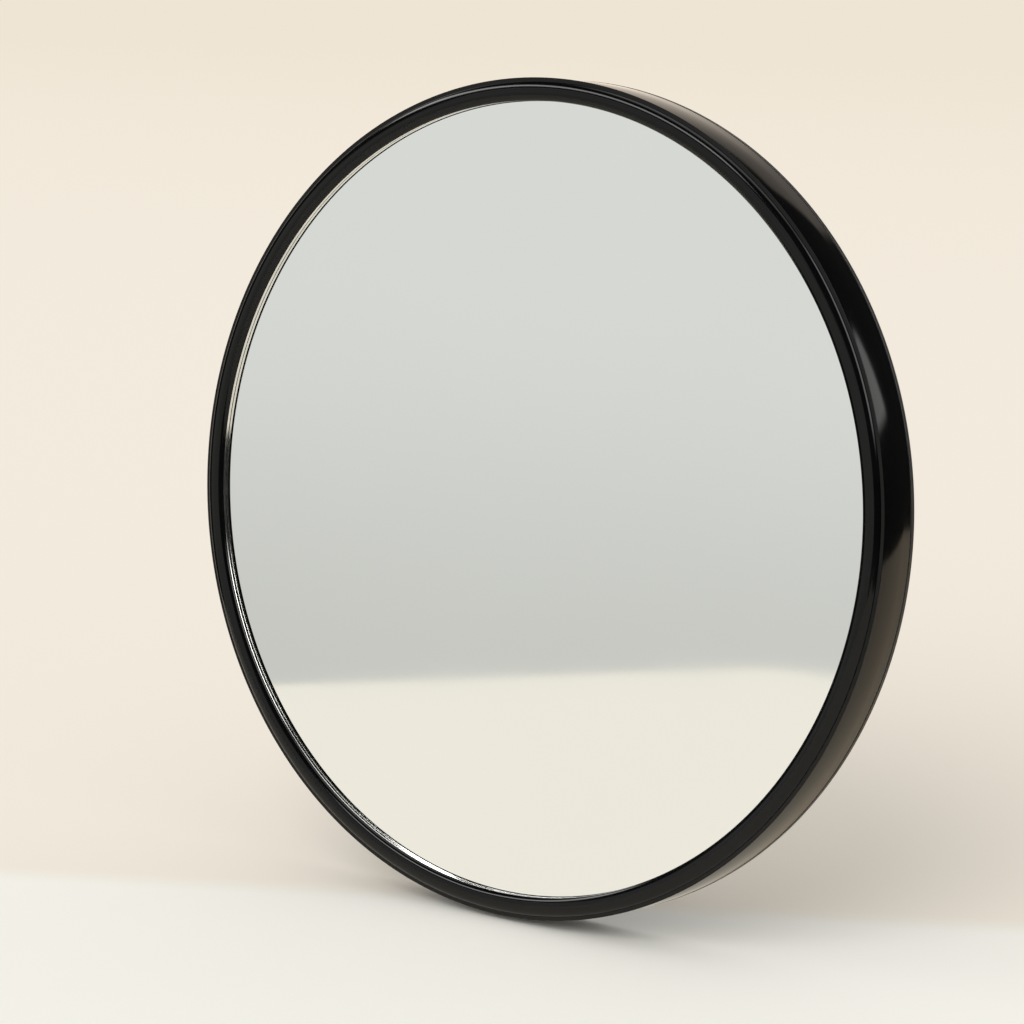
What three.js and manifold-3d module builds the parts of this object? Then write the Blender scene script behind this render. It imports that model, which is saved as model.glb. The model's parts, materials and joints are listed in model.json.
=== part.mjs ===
// A round countertop mirror in a glossy black ring, leaning back on a hinged easel strut.
// Millimetres, +Z up. The mirror faces -Y and the origin is the middle of the footprint.
// Pieces of the head are drawn upright in its own frame: X across, Y from front to back
// (the front plane is y = 0), Z up from the middle of the ring. The head then leans back.

import * as THREE from 'three';
import { mergeVertices } from 'three/addons/utils/BufferGeometryUtils.js';
import Module from 'manifold-3d';

const wasm = await Module();
wasm.setup();

// ---- Driving sizes --------------------------------------------------------------------

const ringDiameter = 250;
const ringDepth = 18;
const leanDegrees = 5;
const strutOpenDegrees = 13;
const ringSegments = 80;
const roundSegments = 24;
const screwSegments = 16;

// Clearances
const seatGap = 0.3; // between pieces that rest on each other
const trimGap = 0.15; // under and over the thin trim ring
const boreGap = 0.15; // round a screw or a pin
const slideGap = 0.2; // beside the washers on the hinge pin
const overshoot = 1; // how far a cutting tool runs past the face it cuts

// Front bead, and the seam in the side wall where the shell meets it
const bezelWidth = 5.7;
const beadRise = 1.4;
const beadLip = 0.2;
const seamFromFront = 1.7;
const seamWidth = 0.25;
const shellWall = 2.2;
const shellCrown = 1.1; // how much smaller the front edge is than the widest part
const shellCrownLength = 10;
const skirtThickness = 0.7;
const skirtPastBacking = 1.2;

// Glass and what holds it
const trimWallHeight = 1;
const trimSheet = 0.45;
const gasketWidth = 1.4;
const glassThickness = 3;
const glassGap = 0.5;
const backingThickness = 0.4;
const backingInset = 0.6;
const foamInset = 2.4;

// Back of the shell and the cover
const coverFlange = 1.8;
const coverPlate = 2;
const coverEdgeRound = 0.45;
const ledgeThickness = 3;
const ledgeWidth = 9.8;
const coverScrewCount = 6;
const coverScrewInset = 6.4;

// Screws: radii and heights
const screwShank = 1.4;
const flatHead = { radius: 2.7, height: 1.3, length: 4.2 };
const panHead = { radius: 2.6, height: 1.4, length: 3.4 };
const recessWidth = 0.75;
const recessLength = 3;
const recessDepth = 0.7;

// Hinge
const hingeRise = 45; // pin above the middle of the ring
const pinRadius = 1.75;
const pinHeadRadius = 3;
const pinHeadThickness = 1.2;
const pinTail = 1.4;
const plateThickness = 1.5;
const plateHalfHeight = 16;
const plateMargin = 6.6;
const plateCorner = 3;
const earThickness = 1.5;
const earRound = 4.4;
const earFoot = 8;
const earSweep = 0.4 * Math.PI; // half the round end of an ear
const washerThickness = 0.8;
const washerRadius = 3.3;
const clipThickness = 0.7;
const clipRadius = 3.1;
const clipMouth = 2.2;
const hingeScrewRise = 11.5;

// Strut and its rubber foot
const strutThickness = 4;
const strutBehindRim = 0.8;
const strutTopWidth = 30;
const strutFootWidth = 18;
const strutStraight = 20;
const barrelRadius = 3.4;
const heelRound = 2;
const pocketCount = 3;
const pocketDepth = 1.7;
const pocketRib = 3.5;
const pocketTopClear = 10;
const capWidth = 22;
const capThickness = 7.4;
const capHeight = 13;
const capSole = 2.2;

// Rubber pad let into the bottom of the ring
const padHalfLength = 6;
const padPocket = 1;
const padStandProud = 0.3;
const padFromFront = 8;
const padFromBack = 3.2;

// ---- Sizes worked out from the values above ---------------------------------------------

const lean = THREE.MathUtils.degToRad(leanDegrees);
const strutOpen = THREE.MathUtils.degToRad(strutOpenDegrees);
const strutSlope = strutOpen - lean; // from upright, once the head leans

const ringRadius = ringDiameter / 2;
const bezelOuter = ringRadius - shellCrown;
const apertureRadius = bezelOuter - bezelWidth;
const shellInner = ringRadius - shellWall;
const skirtOuter = shellInner - seatGap;
const skirtInner = skirtOuter - skirtThickness;

// Stations from front to back
const lipBack = beadRise + beadLip;
const trimFront = lipBack + trimGap;
const trimBack = trimFront + trimWallHeight;
const glassFront = trimBack + trimGap;
const glassBack = glassFront + glassThickness;
const backingFront = glassBack + seatGap;
const backingBack = backingFront + backingThickness;
const foamFront = backingBack + seatGap;
const flangeFront = ringDepth - coverFlange;
const shellFront = seamFromFront + seamWidth;
const shellBack = flangeFront - seatGap;
const ledgeFront = shellBack - ledgeThickness;
const foamBack = ledgeFront - seatGap;
const coverFront = ledgeFront;
const coverBack = coverFront + coverPlate;

// Radii of the stack
const glassRadius = skirtInner - glassGap;
const ledgeInner = shellInner - ledgeWidth;
const coverPlateRadius = ledgeInner - seatGap;
const coverScrewRadius = ringRadius - coverScrewInset;
const coverScrewTop = ringDepth - seatGap / 2;

// Hinge stations
const plateFront = coverBack + seatGap;
const plateBack = plateFront + plateThickness;
const pinDepth = ringDepth + strutBehindRim + strutThickness / 2;
const barrelHalf = strutTopWidth / 2;
const earInner = barrelHalf + slideGap + washerThickness + slideGap;
const earOuter = earInner + earThickness;
const plateHalfWidth = earOuter + plateMargin;
const hingeScrewX = earOuter + plateMargin / 2;

// The heel above the pin turns towards the plate and stops on it when the strut is open
const heelReach = pinDepth - plateBack - seatGap;
const heelLength = (heelReach - (strutThickness / 2) * Math.cos(strutOpen)) / Math.sin(strutOpen);

// Heights above the table, with the lowest rear edge of the ring held clear by the pad
const centreHeight = ringRadius * Math.cos(lean) + ringDepth * Math.sin(lean) + padStandProud;
const pinHeight = centreHeight + hingeRise * Math.cos(lean) - pinDepth * Math.sin(lean);
const strutToTable = pinHeight / Math.cos(strutSlope); // along the strut, from pin to table
const strutLength = strutToTable - capSole;

// ---- Finishes -----------------------------------------------------------------------------

function finish(color, roughness, metalness) {
  return new THREE.MeshStandardMaterial({ color, roughness, metalness });
}

const finishes = {
  glossBlack: finish(0x101011, 0.12, 0),
  satinBlack: finish(0x19191a, 0.45, 0),
  polishedTrim: finish(0xd8d6d0, 0.1, 1),
  mirrorFace: finish(0xd6d8d4, 0.02, 1),
  mirrorPaint: finish(0x4a4c4e, 0.6, 0),
  foam: finish(0x2c2c2e, 0.95, 0),
  rubber: finish(0x141414, 0.85, 0),
  zincSteel: finish(0x9a9ca0, 0.35, 1),
  blackScrew: finish(0x222224, 0.4, 1),
};

// ---- Making solids ------------------------------------------------------------------------

// A closed geometry as a solid that can be joined and cut
function solid(geometry) {
  const plain = geometry.clone();
  plain.deleteAttribute('normal');
  plain.deleteAttribute('uv');
  const merged = mergeVertices(plain);
  const index = merged.index.array;
  const corners = [];
  for (let i = 0; i < index.length; i += 3) {
    const [a, b, c] = [index[i], index[i + 1], index[i + 2]];
    if (a !== b && b !== c && c !== a) {
      corners.push(a, b, c);
    }
  }
  const vertProperties = new Float32Array(merged.attributes.position.array);
  const triVerts = new Uint32Array(corners);
  return new wasm.Manifold(new wasm.Mesh({ numProp: 3, vertProperties, triVerts }));
}

// The geometry of a joined or cut solid
function surface(body) {
  const mesh = body.getMesh();
  const geometry = new THREE.BufferGeometry();
  geometry.setAttribute('position', new THREE.BufferAttribute(mesh.vertProperties, 3));
  geometry.setIndex(new THREE.BufferAttribute(mesh.triVerts, 1));
  const faceted = geometry.toNonIndexed();
  faceted.computeVertexNormals();
  return faceted;
}

function cut(geometry, tools) {
  const body = tools.reduce((left, tool) => left.subtract(solid(tool)), solid(geometry));
  return surface(body);
}

function join(geometries) {
  const [first, ...others] = geometries.map(solid);
  return surface(others.reduce((whole, piece) => whole.add(piece), first));
}

// A ring or disc turned about the Y axis, with a flat facet centred at its lowest point.
// The outline is a list of [radius, y] that runs from back to front along its outside.
function turned(outline, segments = ringSegments) {
  const points = outline.map(([radius, y]) => new THREE.Vector2(radius, y));
  return new THREE.LatheGeometry(points.reverse(), segments, Math.PI / segments);
}

function disc(radius, front, back) {
  const thickness = back - front;
  const start = Math.PI / ringSegments;
  const geometry = new THREE.CylinderGeometry(radius, radius, thickness, ringSegments, 1, false, start);
  return geometry.translate(0, (front + back) / 2, 0);
}

function box(x, y, z) {
  const geometry = new THREE.BoxGeometry(x[1] - x[0], y[1] - y[0], z[1] - z[0]);
  return geometry.translate((x[0] + x[1]) / 2, (y[0] + y[1]) / 2, (z[0] + z[1]) / 2);
}

// A cylinder along X, between two stations
function rod(radius, from, to, segments = roundSegments) {
  const geometry = new THREE.CylinderGeometry(radius, radius, to - from, segments);
  return geometry.rotateZ(Math.PI / 2).translate((from + to) / 2, 0, 0);
}

// A cylinder along Y, between two stations
function post(radius, from, to, segments = screwSegments) {
  const geometry = new THREE.CylinderGeometry(radius, radius, to - from, segments);
  return geometry.translate(0, (from + to) / 2, 0);
}

// An outline drawn in (y, z), drawn out along X about the middle
function drawnAcross(shape, width) {
  const settings = { depth: width, bevelEnabled: false, curveSegments: 8 };
  const geometry = new THREE.ExtrudeGeometry(shape, settings);
  const turn = new THREE.Matrix4().makeBasis(
    new THREE.Vector3(0, 1, 0),
    new THREE.Vector3(0, 0, 1),
    new THREE.Vector3(1, 0, 0),
  );
  return geometry.applyMatrix4(turn).translate(-width / 2, 0, 0);
}

// An outline drawn in (x, z), given a front and a back station along Y
function drawnDeep(shape, front, back) {
  const settings = { depth: back - front, bevelEnabled: false, curveSegments: 5 };
  const geometry = new THREE.ExtrudeGeometry(shape, settings);
  const turn = new THREE.Matrix4().makeBasis(
    new THREE.Vector3(1, 0, 0),
    new THREE.Vector3(0, 0, 1),
    new THREE.Vector3(0, -1, 0),
  );
  return geometry.applyMatrix4(turn).translate(0, back, 0);
}

function polygon(corners) {
  return new THREE.Shape(corners.map(([a, b]) => new THREE.Vector2(a, b)));
}

function arc(centre, radius, fromDegrees, toDegrees, steps) {
  const points = [];
  for (let i = 0; i <= steps; i += 1) {
    const angle = THREE.MathUtils.degToRad(fromDegrees + ((toDegrees - fromDegrees) * i) / steps);
    points.push([centre[0] + radius * Math.cos(angle), centre[1] + radius * Math.sin(angle)]);
  }
  return points;
}

function closed(outline) {
  return [...outline, outline[0]];
}

function piece(name, geometry, material, parent, place = [0, 0, 0]) {
  const mesh = new THREE.Mesh(geometry, material);
  mesh.name = name;
  mesh.position.set(...place);
  parent.add(mesh);
}

// ---- Ring and glass -----------------------------------------------------------------------

// Rounded front bead over the edge of the shell, with a skirt that clips inside it
function bezelRing() {
  const crownRadius = bezelOuter - bezelWidth / 2;
  const skirtBack = backingBack + skirtPastBacking;
  const bead = [];
  const steps = 10;
  for (let i = 0; i <= steps; i += 1) {
    const angle = (Math.PI * i) / steps;
    const radius = crownRadius + (bezelWidth / 2) * Math.cos(angle);
    bead.push([radius, beadRise * (1 - Math.sin(angle))]);
  }
  return turned(closed([
    [skirtInner, lipBack],
    [skirtInner, skirtBack],
    [skirtOuter, skirtBack],
    [skirtOuter, seamFromFront],
    [bezelOuter, seamFromFront],
    ...bead,
    [apertureRadius, lipBack],
  ]));
}

// Side wall, a little crowned in front, with a ledge that carries the cover
function rimShell() {
  const crown = [];
  const steps = 4;
  for (let i = 0; i <= steps; i += 1) {
    const along = i / steps;
    crown.push([ringRadius - shellCrown * along ** 2, shellFront + shellCrownLength * (1 - along)]);
  }
  const wall = turned(closed([
    [ledgeInner, shellBack],
    [ringRadius, shellBack],
    ...crown,
    [shellInner, shellFront],
    [shellInner, ledgeFront],
    [ledgeInner, ledgeFront],
  ]));
  const holes = atCoverScrews((x, z) => (
    post(screwShank + boreGap, ledgeFront - overshoot, shellBack + overshoot).translate(x, 0, z)
  ));
  return cut(wall, [...holes, padPocketCut()]);
}

function padPocketCut() {
  const floor = -(ringRadius - padPocket);
  return box(
    [-padHalfLength - seatGap, padHalfLength + seatGap],
    [padFromFront - seatGap, ringDepth - padFromBack + seatGap],
    [floor - 2 * padPocket, floor],
  );
}

// Thin polished ring: a wall round the aperture and a flange that lies under the bead
function trimRing() {
  const inner = apertureRadius + trimGap;
  return turned(closed([
    [inner, trimBack],
    [inner + trimSheet, trimBack],
    [inner + trimSheet, trimFront + trimSheet],
    [skirtInner - seatGap, trimFront + trimSheet],
    [skirtInner - seatGap, trimFront],
    [inner, trimFront],
  ]));
}

// Rubber ring that fills the space between the trim's flange and the glass
function glassGasket() {
  const front = trimFront + trimSheet + trimGap;
  const back = glassFront - trimGap;
  const outer = glassRadius - seatGap;
  return turned(closed([
    [outer - gasketWidth, back],
    [outer, back],
    [outer, front],
    [outer - gasketWidth, front],
  ]));
}

function mirrorGlass() {
  return disc(glassRadius, glassFront, glassBack);
}

function mirrorBacking() {
  return disc(glassRadius - backingInset, backingFront, backingBack);
}

function foamPad() {
  return disc(skirtInner - foamInset, foamFront, foamBack);
}

// ---- Cover and screws -----------------------------------------------------------------------

function atCoverScrews(make) {
  const made = [];
  for (let i = 0; i < coverScrewCount; i += 1) {
    const angle = (2 * Math.PI * (i + 0.5)) / coverScrewCount;
    made.push(make(coverScrewRadius * Math.sin(angle), coverScrewRadius * Math.cos(angle)));
  }
  return made;
}

function atHingeScrews(make) {
  const made = [];
  for (const side of [-1, 1]) {
    for (const end of [1, -1]) {
      made.push(make(side * hingeScrewX, hingeRise + end * hingeScrewRise));
    }
  }
  return made;
}

// The head is at y = 0 and below; the shank points to -Y
function flatScrewOutline(grow, headTop) {
  const shank = screwShank + grow;
  const head = flatHead.radius + grow;
  return [
    [0, headTop],
    [head, headTop],
    [head, 0],
    [shank, -flatHead.height],
    [shank, -flatHead.length - grow],
    [0, -flatHead.length - grow],
  ];
}

function backCover() {
  const plate = turned([
    [0, coverBack],
    [coverPlateRadius - coverPlate, coverBack],
    [coverPlateRadius - coverPlate, ringDepth],
    ...arc([ringRadius - coverEdgeRound, ringDepth - coverEdgeRound], coverEdgeRound, 90, 0, 3),
    [ringRadius, flangeFront],
    [coverPlateRadius, flangeFront],
    [coverPlateRadius, coverFront],
    [0, coverFront],
  ]);
  const countersinks = atCoverScrews((x, z) => (
    turned(flatScrewOutline(boreGap, overshoot), screwSegments).translate(x, coverScrewTop, z)
  ));
  const hingeHoles = atHingeScrews((x, z) => (
    post(screwShank + boreGap, coverFront - overshoot, coverBack + overshoot).translate(x, 0, z)
  ));
  return cut(plate, [...countersinks, ...hingeHoles]);
}

function crossRecess(top) {
  const half = recessLength / 2;
  const thin = recessWidth / 2;
  const y = [top - recessDepth, top + overshoot];
  return [box([-half, half], y, [-thin, thin]), box([-thin, thin], y, [-half, half])];
}

function flatScrew() {
  return cut(turned(flatScrewOutline(0, 0), screwSegments), crossRecess(0));
}

function panScrew() {
  const dome = arc([0, 0], 1, 90, 0, 4).map(([c, s]) => [panHead.radius * c, panHead.height * s]);
  const outline = [
    ...dome,
    [screwShank, 0],
    [screwShank, -panHead.length],
    [0, -panHead.length],
  ];
  return cut(turned(outline, screwSegments), crossRecess(panHead.height));
}

// ---- Hinge ----------------------------------------------------------------------------------

// Plate with two ears, drawn about the pin: (0, 0, 0) is the middle of the pin
function hingePlate() {
  const front = plateFront - pinDepth;
  const back = plateBack - pinDepth;
  const w = plateHalfWidth;
  const h = plateHalfHeight;
  const r = plateCorner;
  const outline = new THREE.Shape();
  outline.absarc(w - r, h - r, r, 0, Math.PI / 2);
  outline.absarc(r - w, h - r, r, Math.PI / 2, Math.PI);
  outline.absarc(r - w, r - h, r, Math.PI, 1.5 * Math.PI);
  outline.absarc(w - r, r - h, r, 1.5 * Math.PI, 2 * Math.PI);
  const ear = new THREE.Shape();
  ear.moveTo((front + back) / 2, earFoot);
  ear.lineTo((front + back) / 2, -earFoot);
  ear.absarc(0, 0, earRound, -earSweep, earSweep);
  const ears = [-1, 1].map((side) => (
    drawnAcross(ear, earThickness).translate(side * (earInner + earThickness / 2), 0, 0)
  ));
  const whole = join([drawnDeep(outline, front, back), ...ears]);
  const bore = rod(pinRadius + boreGap, -earOuter - overshoot, earOuter + overshoot);
  const screwHoles = atHingeScrews((x, z) => (
    post(screwShank + boreGap, front - overshoot, back + overshoot).translate(x, 0, z - hingeRise)
  ));
  return cut(whole, [bore, ...screwHoles]);
}

function hingePin() {
  const underHead = -earOuter - slideGap;
  const headEnd = underHead - pinHeadThickness;
  const tail = earOuter + slideGap + clipThickness + pinTail;
  return join([
    rod(pinRadius, headEnd + pinHeadThickness / 2, tail),
    rod(pinHeadRadius, headEnd, underHead),
  ]);
}

function washer() {
  return cut(
    rod(washerRadius, 0, washerThickness),
    [rod(pinRadius + boreGap, -overshoot, washerThickness + overshoot)],
  );
}

// A spring clip, open on one side so that it can be pushed over the pin
function pinClip() {
  const across = [-overshoot, clipThickness + overshoot];
  const mouth = box(across, [-clipMouth / 2, clipMouth / 2], [-2 * clipRadius, 0]);
  return cut(rod(clipRadius, 0, clipThickness), [rod(pinRadius + boreGap, ...across), mouth]);
}

// ---- Strut ----------------------------------------------------------------------------------

// Half the strut's width at a height below (negative) or above the pin
function strutHalfWidth(z) {
  const along = THREE.MathUtils.clamp((-z - strutStraight) / (strutLength - strutStraight), 0, 1);
  return THREE.MathUtils.lerp(strutTopWidth, strutFootWidth, along) / 2;
}

// Tapered blade with a heel above the pin, a barrel round the pin and pockets in its back
function standStrut() {
  const half = strutThickness / 2;
  const top = heelLength;
  const blade = new THREE.Shape();
  blade.moveTo(strutHalfWidth(-strutLength), -strutLength);
  blade.lineTo(strutTopWidth / 2, -strutStraight);
  blade.absarc(strutTopWidth / 2 - heelRound, top - heelRound, heelRound, 0, Math.PI / 2);
  blade.absarc(heelRound - strutTopWidth / 2, top - heelRound, heelRound, Math.PI / 2, Math.PI);
  blade.lineTo(-strutTopWidth / 2, -strutStraight);
  blade.lineTo(-strutHalfWidth(-strutLength), -strutLength);
  const whole = join([drawnDeep(blade, -half, half), rod(barrelRadius, -barrelHalf, barrelHalf)]);
  const bore = rod(pinRadius + slideGap, -barrelHalf - overshoot, barrelHalf + overshoot);
  return cut(whole, [bore, ...strutPockets(half)]);
}

function strutPockets(back) {
  const first = -pocketTopClear;
  const last = -(strutToTable - capHeight - pocketRib);
  const pitch = (first - last + pocketRib) / pocketCount;
  const pockets = [];
  for (let i = 0; i < pocketCount; i += 1) {
    const top = first - i * pitch;
    const bottom = top - pitch + pocketRib;
    const levels = [top, -strutStraight, bottom].filter((z) => z <= top && z >= bottom);
    const right = levels.map((z) => [strutHalfWidth(z) - pocketRib, z]);
    const left = right.map(([x, z]) => [-x, z]).reverse();
    pockets.push(drawnDeep(polygon([...right, ...left]), back - pocketDepth, back + overshoot));
  }
  return pockets;
}

// Rubber foot over the strut's end, with a sole that is level when the strut is open
function strutFootCap() {
  const half = capThickness / 2;
  const top = capHeight - strutToTable;
  const soleAt = (y) => (-pinHeight - y * Math.sin(strutSlope)) / Math.cos(strutSlope);
  const side = polygon([[half, top], [-half, top], [-half, soleAt(-half)], [half, soleAt(half)]]);
  const socket = strutSocket(-strutLength - seatGap, top + overshoot);
  return cut(drawnAcross(side, capWidth), [socket]);
}

function strutSocket(bottom, top) {
  const upper = strutHalfWidth(top) + seatGap;
  const lower = strutHalfWidth(bottom) + seatGap;
  const half = strutThickness / 2 + seatGap;
  const outline = [[upper, top], [-upper, top], [-lower, bottom], [lower, bottom]];
  return drawnDeep(polygon(outline), -half, half);
}

// ---- Rubber pad under the ring ----------------------------------------------------------------

// Its top lies in the shell's pocket and its underside is level with the table
function rimFootPad() {
  const top = -(ringRadius - padPocket) - seatGap;
  const front = padFromFront;
  const back = ringDepth - padFromBack;
  const tableAt = (y) => (y * Math.sin(lean) - centreHeight) / Math.cos(lean);
  const side = polygon([[back, top], [front, top], [front, tableAt(front)], [back, tableAt(back)]]);
  return drawnAcross(side, 2 * padHalfLength);
}

// ---- Assembly ---------------------------------------------------------------------------------

const mirror = new THREE.Group();
const head = new THREE.Group();
head.rotation.x = -lean;
head.position.z = centreHeight;
mirror.add(head);

piece('bezel_ring', bezelRing(), finishes.glossBlack, head);
piece('rim_shell', rimShell(), finishes.glossBlack, head);
piece('trim_ring', trimRing(), finishes.polishedTrim, head);
piece('glass_gasket', glassGasket(), finishes.rubber, head);
piece('mirror_glass', mirrorGlass(), finishes.mirrorFace, head);
piece('mirror_backing', mirrorBacking(), finishes.mirrorPaint, head);
piece('foam_pad', foamPad(), finishes.foam, head);
piece('back_cover', backCover(), finishes.satinBlack, head);
piece('rim_foot_pad', rimFootPad(), finishes.rubber, head);

atCoverScrews((x, z) => [x, coverScrewTop, z]).forEach((place, i) => {
  piece(`cover_screw_${i + 1}`, flatScrew(), finishes.blackScrew, head, place);
});
atHingeScrews((x, z) => [x, plateBack + slideGap, z]).forEach((place, i) => {
  piece(`hinge_screw_${i + 1}`, panScrew(), finishes.zincSteel, head, place);
});

const hinge = new THREE.Group();
hinge.position.set(0, pinDepth, hingeRise);
head.add(hinge);

const washerStart = barrelHalf + slideGap;
piece('hinge_plate', hingePlate(), finishes.zincSteel, hinge);
piece('hinge_pin', hingePin(), finishes.zincSteel, hinge);
piece('hinge_washer_left', washer(), finishes.zincSteel, hinge, [-washerStart - washerThickness, 0, 0]);
piece('hinge_washer_right', washer(), finishes.zincSteel, hinge, [washerStart, 0, 0]);
piece('pin_clip', pinClip(), finishes.zincSteel, hinge, [earOuter + slideGap, 0, 0]);

const strut = new THREE.Group();
strut.rotation.x = strutOpen;
hinge.add(strut);

piece('stand_strut', standStrut(), finishes.satinBlack, strut);
piece('strut_foot_cap', strutFootCap(), finishes.rubber, strut);

// The origin is the middle of the footprint
const extent = new THREE.Box3().setFromObject(mirror, true);
mirror.position.y = -(extent.min.y + extent.max.y) / 2;

export default mirror;
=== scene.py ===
"""Visual model of a round countertop mirror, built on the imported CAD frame.

Lengths below are millimetres. Pieces of the head are drawn in the head's own frame: X across,
Y from the front plane to the back, Z up from the middle of the ring. Pieces of the strut are
drawn about the hinge pin. Each mesh is scaled to metres and its object carries the frame.
"""

import json
import math

import bmesh
import bpy
from mathutils import Matrix, Vector


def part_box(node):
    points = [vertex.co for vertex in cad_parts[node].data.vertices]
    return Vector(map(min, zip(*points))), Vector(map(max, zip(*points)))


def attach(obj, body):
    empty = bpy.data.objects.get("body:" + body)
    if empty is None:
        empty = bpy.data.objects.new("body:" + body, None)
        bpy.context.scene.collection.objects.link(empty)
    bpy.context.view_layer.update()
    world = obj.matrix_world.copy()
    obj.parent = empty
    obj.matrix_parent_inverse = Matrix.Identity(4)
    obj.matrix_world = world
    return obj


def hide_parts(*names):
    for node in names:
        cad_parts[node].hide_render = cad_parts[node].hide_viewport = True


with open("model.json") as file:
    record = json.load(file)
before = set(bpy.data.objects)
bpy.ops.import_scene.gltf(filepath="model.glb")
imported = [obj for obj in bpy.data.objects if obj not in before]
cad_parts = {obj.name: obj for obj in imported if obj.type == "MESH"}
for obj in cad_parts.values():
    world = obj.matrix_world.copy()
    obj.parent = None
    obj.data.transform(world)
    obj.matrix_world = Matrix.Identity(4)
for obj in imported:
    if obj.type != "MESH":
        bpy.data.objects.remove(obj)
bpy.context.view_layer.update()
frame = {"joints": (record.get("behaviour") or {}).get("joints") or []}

# ---- Sizes shared with the CAD source --------------------------------------------------------

MM = 0.001
LEAN = math.radians(5)
STRUT_OPEN = math.radians(13)
STRUT_SLOPE = STRUT_OPEN - LEAN

RING_RADIUS = 125
RING_DEPTH = 18
FRONT_RADIUS = 123.9
APERTURE_RADIUS = 118.2
SKIRT_OUTER = 122.5
SKIRT_INNER = 121.8
BEAD_RISE = 1.4
LIP_BACK = 1.6
SKIRT_BACK = 7.8

SHELL_INNER = 122.8
LEDGE_INNER = 113
LEDGE_FRONT = 12.9
SHELL_BACK = 15.9
SEAM_FRONT = 1.7
SEAM_BACK = 1.95
CROWN_LENGTH = 10

TRIM_INNER = 118.35
TRIM_FRONT = 1.75
TRIM_BACK = 2.75
TRIM_SHEET = 0.45
TRIM_FLANGE = 121.5
GASKET = (119.6, 121, 2.35, 2.75)
GLASS = (121.3, 2.9, 5.9)
BACKING = (120.7, 6.2, 6.6)
FOAM = (119.4, 6.9, 12.6)

COVER_PLATE_RADIUS = 112.7
COVER_RECESS_RADIUS = 110.7
COVER_FRONT = 12.9
COVER_BACK = 14.9
FLANGE_FRONT = 16.2
COVER_SCREW_RADIUS = 118.6
COVER_SCREW_TOP = 17.85
COVER_SCREWS = 6

HINGE_RISE = 45
HINGE_SCREW_X = 21
HINGE_SCREW_RISE = 11.5
HINGE_SCREW_SEAT = 16.9
PLATE_FRONT = -5.6
PLATE_BACK = -4.1
PLATE_HALF_WIDTH = 24.3
PLATE_HALF_HEIGHT = 16
PLATE_CORNER = 3
EAR_INNER = 16.2
EAR_OUTER = 17.7
EAR_ROUND = 4.4
EAR_FOOT = 8
EAR_SWEEP = 72
PIN_RADIUS = 1.75
PIN_BORE = 1.9
PIN_HEAD_RADIUS = 3
PIN_UNDER_HEAD = -17.9
PIN_HEAD_END = -19.1
PIN_TAIL_END = 20
WASHER = (3.3, 15.2, 16)
CLIP = (3.1, 17.9, 18.6)
CLIP_MOUTH = 2.2

SCREW_SHANK = 1.4
SCREW_HOLE = 1.55
THREAD_PITCH = 0.5
THREAD_DEPTH = 0.18
TIP_TAPER = 0.45
TIP_LENGTH = 0.6
FLAT_HEAD = (2.7, 1.3, 4.2)
PAN_HEAD = (2.6, 1.4, 3.4)
RECESS_WIDTH = 0.75
RECESS_LENGTH = 3
RECESS_DEPTH = 0.7
RECESS_TAPER = 0.35
COVER_SCREW_TURN = 37
HINGE_SCREW_START = 20
HINGE_SCREW_TURN = 53

STRUT_HALF_THICKNESS = 2
STRUT_TOP_HALF_WIDTH = 15
STRUT_FOOT_HALF_WIDTH = 9
STRUT_STRAIGHT = 20
STRUT_HEEL = 8.23
BARREL_RADIUS = 3.4
BARREL_HALF = 15
STRUT_BORE = 1.95
POCKET_COUNT = 3
POCKET_TOP = -10
POCKET_DEPTH = 1.7
POCKET_RIB = 3.5
CAP_HALF_WIDTH = 11
CAP_HALF_THICKNESS = 3.7
CAP_HEIGHT = 13
CAP_SOLE = 2.2
CAP_GAP = 0.3

PAD_HALF_LENGTH = 6
PAD_TOP = -124.3
PAD_FRONT = 8
PAD_BACK = 14.8
PAD_POCKET_FLOOR = -124
PAD_GAP = 0.3

RING_STEPS = 288
CROWN_STEPS = 10
ROUND_STEPS = 64
SCREW_STEPS = 40
SHARP_ANGLE = math.radians(38)
OVERSHOOT = 1  # how far a cutter runs past the face it cuts

# ---- Frames ------------------------------------------------------------------------------------


def head_frame():
    """The head's frame, from the middle of the glass, which is a disc centred on the Y axis."""
    low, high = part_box("mirror_glass")
    tilt = Matrix.Rotation(-LEAN, 4, "X")
    middle = Vector((0, (GLASS[1] + GLASS[2]) / 2 * MM, 0))
    return Matrix.Translation((low + high) / 2 - tilt @ middle) @ tilt


def pin_frame(turn):
    """A frame on the hinge pin, turned about it."""
    return Matrix.Translation(PIN) @ Matrix.Rotation(turn, 4, "X")


PIN = Vector(frame["joints"][0]["pos_m"])
HEAD = head_frame()
HINGE = pin_frame(-LEAN)
STRUT = pin_frame(STRUT_SLOPE)

# Heights that follow from where the frame puts the ring and the pin above the table
CENTRE_HEIGHT = HEAD.translation.z / MM
STRUT_TO_TABLE = PIN.z / MM / math.cos(STRUT_SLOPE)
STRUT_LENGTH = STRUT_TO_TABLE - CAP_SOLE

# ---- Outlines ----------------------------------------------------------------------------------


def filleted(corners, steps=5):
    """A closed outline whose corners (a, b, radius) are rounded; a corner (a, b) stays sharp."""
    outline = []
    count = len(corners)
    for i, corner in enumerate(corners):
        here = Vector(corner[:2])
        radius = corner[2] if len(corner) > 2 else 0
        if radius == 0:
            outline.append(here)
            continue
        before = (Vector(corners[i - 1][:2]) - here).normalized()
        after = (Vector(corners[(i + 1) % count][:2]) - here).normalized()
        half = before.angle(after) / 2
        start = before * (radius / math.tan(half))
        end = after * (radius / math.tan(half))
        centre = (before + after).normalized() * (radius / math.sin(half))
        first, last = start - centre, end - centre
        turn = first.angle_signed(last)
        for k in range(steps + 1):
            spoke = Matrix.Rotation(-turn * k / steps, 2) @ first
            outline.append(here + centre + spoke)
    return outline


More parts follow.
